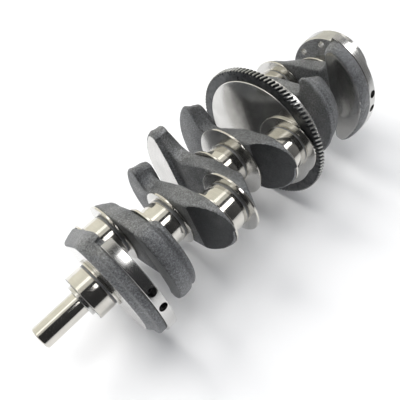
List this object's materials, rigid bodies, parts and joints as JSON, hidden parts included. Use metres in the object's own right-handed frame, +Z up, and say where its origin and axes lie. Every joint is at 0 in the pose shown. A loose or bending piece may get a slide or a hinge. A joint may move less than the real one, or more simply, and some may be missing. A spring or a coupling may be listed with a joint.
{
  "type": "crankshaft",
  "caption": "In-line four-cylinder engine crankshaft with forged counterweight webs, ground journals, a helical balance-shaft gear on one web and a rear flywheel flange.",
  "frame": {"origin": "on the main bearing axis, halfway along the overall length", "axes": "+X along the main axis towards the flywheel flange, +Z up, crankpins 1 and 4 at 20 degrees below +Y"},
  "size_m": [0.479, 0.173, 0.173],
  "materials": {
    "forged_steel": "shot-blasted forging, dull grey",
    "ground_steel": "ground and polished",
    "machined_steel": "fine turned",
    "gear_steel": "hardened, dark, bright tooth edges",
    "pin_steel": "ground"
  },
  "bodies": {
    "root": {"snout": "ground_steel", "snout_collar": "machined_steel", "main_journal_1": "ground_steel", "main_journal_2": "ground_steel", "main_journal_3": "ground_steel", "main_journal_4": "ground_steel", "main_journal_5": "ground_steel", "crankpin_1": "ground_steel", "crankpin_2": "ground_steel", "crankpin_3": "ground_steel", "crankpin_4": "ground_steel", "web_1": "forged_steel", "web_2": "forged_steel", "web_3": "forged_steel", "web_4": "forged_steel", "web_5": "forged_steel", "web_6": "machined_steel", "web_7": "forged_steel", "web_8": "forged_steel", "web_1_machined_rim": "machined_steel", "web_8_machined_rim": "machined_steel", "balance_gear": "gear_steel", "rear_flange": "machined_steel", "flange_dowel": "pin_steel"}
  },
  "joints": []
}
